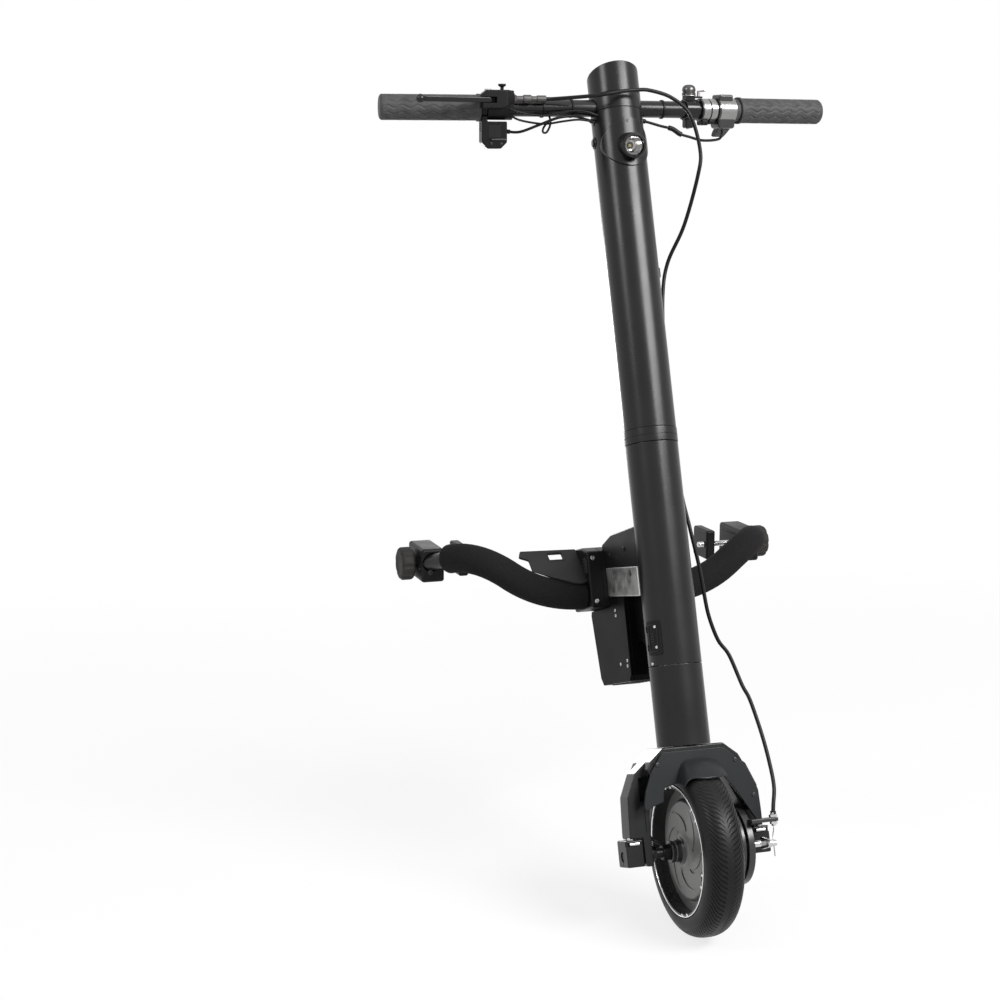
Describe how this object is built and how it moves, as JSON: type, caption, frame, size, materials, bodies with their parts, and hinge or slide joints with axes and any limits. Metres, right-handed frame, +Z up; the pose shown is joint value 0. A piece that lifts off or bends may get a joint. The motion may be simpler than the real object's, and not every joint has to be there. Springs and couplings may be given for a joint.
{
  "type": "wheelchair drive unit",
  "caption": "Front power drive that clamps to a manual wheelchair: hub-motor wheel in a fork, leaning battery column with handlebar and lamp, padded crossbar with frame clamps.",
  "frame": {"origin": "on the floor under the middle of the unit's bounding box, behind the tyre's contact", "axes": "+Z up, -Y forward in the direction of travel, +X to the left of a rider who faces -Y"},
  "size_m": [0.6248, 0.533, 1.0789],
  "materials": {
    "column_paint": "satin black powder coat",
    "fork_paint": "blue-black satin paint",
    "moulded_black": "fine-grained black moulded plastic",
    "gloss_black": "smooth black plastic",
    "knob_plastic": "matt dark grey moulded plastic",
    "foam": "closed-cell foam sleeve, matt black",
    "grip_rubber": "moulded black rubber with a wavy tread",
    "tyre_rubber": "black tyre rubber with fine slanting sipes",
    "alloy_block": "bead-blasted grey aluminium",
    "bright_steel": "bright machined steel",
    "cable_jacket": "black cable jacket",
    "clear_lens": "smoky clear lens",
    "display_glass": "dark glossy display window",
    "battery_film": "blue shrink film",
    "copper_core": "wound copper and laminated steel",
    "brake_lining": "brake lining"
  },
  "bodies": {
    "dock": {"steering_sleeve": "column_paint", "lower_bearing": "bright_steel", "upper_bearing": "bright_steel", "charge_socket": "moulded_black", "dock_block": "alloy_block", "latch_housing": "moulded_black", "docking_plate": "moulded_black", "controller_box": "moulded_black", "crossbar": "column_paint", "foam_left": "foam", "foam_right": "foam", "clamp_body_left": "moulded_black", "clamp_body_right": "moulded_black"},
    "charge_flap": {"charge_flap": "moulded_black"},
    "jaw_left": {"clamp_jaw_left": "moulded_black"},
    "jaw_right": {"clamp_jaw_right": "moulded_black"},
    "knob_left": {"clamp_knob_left": "knob_plastic"},
    "knob_right": {"clamp_knob_right": "knob_plastic"},
    "column": {"steerer_tube": "bright_steel", "lower_tube": "column_paint", "collar": "column_paint", "upper_tube": "column_paint", "battery_pack": "battery_film", "stem_band": "column_paint", "top_cap": "column_paint", "display_glass": "display_glass", "headlight_housing": "gloss_black", "headlight_lens": "clear_lens", "handlebar": "column_paint", "grip_left": "grip_rubber", "grip_right": "grip_rubber", "brake_perch": "moulded_black", "cable_adjuster": "bright_steel", "control_pod": "moulded_black", "throttle_housing": "moulded_black", "bell": "moulded_black", "brake_cable": "cable_jacket", "throttle_cable": "cable_jacket", "pod_cable": "cable_jacket", "fork": "fork_paint", "fork_fairing": "fork_paint", "dropout_clamp_left": "column_paint", "dropout_clamp_right": "column_paint", "axle": "bright_steel", "motor_stator": "copper_core", "brake_backing": "column_paint"},
    "wheel": {"tyre": "tyre_rubber", "hub_shell": "column_paint", "hub_cover": "column_paint", "wheel_bearing_left": "bright_steel", "wheel_bearing_right": "bright_steel"},
    "brake_lever": {"brake_lever": "gloss_black"},
    "brake_arm": {"brake_arm": "bright_steel"},
    "shoe_upper": {"brake_shoe_upper": "brake_lining"},
    "shoe_lower": {"brake_shoe_lower": "brake_lining"},
    "throttle_paddle": {"throttle_paddle": "moulded_black"},
    "power_button": {"power_button": "bright_steel"},
    "pod_button": {"pod_button": "knob_plastic"},
    "parking_knob": {"parking_knob": "gloss_black"},
    "bell_striker": {"bell_striker": "bright_steel"}
  },
  "joints": [
    {"name": "steer", "type": "hinge", "parent": "dock", "child": "column", "pos_m": [0, -0.1585, 0.108], "axis": [0, 0.314, 0.9494], "range_deg": [-30, 30]},
    {"name": "wheel_spin", "type": "hinge", "parent": "column", "child": "wheel", "pos_m": [0, -0.1585, 0.108], "axis": [1, 0, 0], "continuous": true},
    {"name": "brake_pull", "type": "hinge", "parent": "column", "child": "brake_lever", "pos_m": [-0.17965, 0.12922, 1.02617], "axis": [0, 0, -1], "range_deg": [0, 22], "stiffness_Nm_per_rad": 0.6},
    {"name": "brake_cam", "type": "hinge", "parent": "column", "child": "brake_arm", "pos_m": [0.0755, -0.1941, 0.11978], "axis": [1, 0, 0], "range_deg": [-20, 0]},
    {"name": "upper_shoe_spread", "type": "hinge", "parent": "column", "child": "shoe_upper", "pos_m": [0.0375, -0.1229, 0.09623], "axis": [1, 0, 0], "range_deg": [-0.5, 0]},
    {"name": "lower_shoe_spread", "type": "hinge", "parent": "column", "child": "shoe_lower", "pos_m": [0.0375, -0.1229, 0.09623], "axis": [1, 0, 0], "range_deg": [0, 0.5]},
    {"name": "throttle_push", "type": "hinge", "parent": "column", "child": "throttle_paddle", "pos_m": [0.17676, 0.15909, 1.01717], "axis": [-0.9924, -0.1227, 0], "range_deg": [0, 30], "stiffness_Nm_per_rad": 0.15},
    {"name": "power_press", "type": "slide", "parent": "column", "child": "power_button", "axis": [0.9903, -0.1321, 0.0437], "range_m": [0, 0.0012], "stiffness_N_per_m": 800},
    {"name": "pod_press", "type": "slide", "parent": "column", "child": "pod_button", "axis": [-0.1227, -0.9924, 0], "range_m": [0, 0.0011], "stiffness_N_per_m": 800},
    {"name": "parking_press", "type": "slide", "parent": "column", "child": "parking_knob", "axis": [0, 0, -1], "range_m": [0, 0.003], "stiffness_N_per_m": 500},
    {"name": "bell_flick", "type": "hinge", "parent": "column", "child": "bell_striker", "pos_m": [0.12269, 0.15392, 1.03867], "axis": [0, 0, 1], "range_deg": [0, 35], "stiffness_Nm_per_rad": 0.02},
    {"name": "flap_open", "type": "hinge", "parent": "dock", "child": "charge_flap", "pos_m": [-0.03527, -0.07942, 0.35991], "axis": [0, -0.314, -0.9494], "range_deg": [0, 100]},
    {"name": "clamp_screw_left", "type": "hinge", "parent": "dock", "child": "knob_left", "pos_m": [-0.262, 0.2315, 0.4085], "axis": [-1, 0, 0], "range_deg": [0, 1440]},
    {"name": "clamp_screw_right", "type": "hinge", "parent": "dock", "child": "knob_right", "pos_m": [0.262, 0.2315, 0.4085], "axis": [1, 0, 0], "range_deg": [0, 1440]},
    {"name": "jaw_slide_left", "type": "slide", "parent": "dock", "child": "jaw_left", "axis": [1, 0, 0], "range_m": [0, 0.006]},
    {"name": "jaw_slide_right", "type": "slide", "parent": "dock", "child": "jaw_right", "axis": [-1, 0, 0], "range_m": [0, 0.006]}
  ],
  "couplings": [
    {"joint": "brake_cam", "follows": "brake_pull", "ratio": -0.909},
    {"joint": "upper_shoe_spread", "follows": "brake_pull", "ratio": -0.0227},
    {"joint": "lower_shoe_spread", "follows": "brake_pull", "ratio": 0.0227},
    {"joint": "jaw_slide_left", "follows": "clamp_screw_left", "m_per_rad": 0.000238},
    {"joint": "jaw_slide_right", "follows": "clamp_screw_right", "m_per_rad": 0.000238}
  ]
}
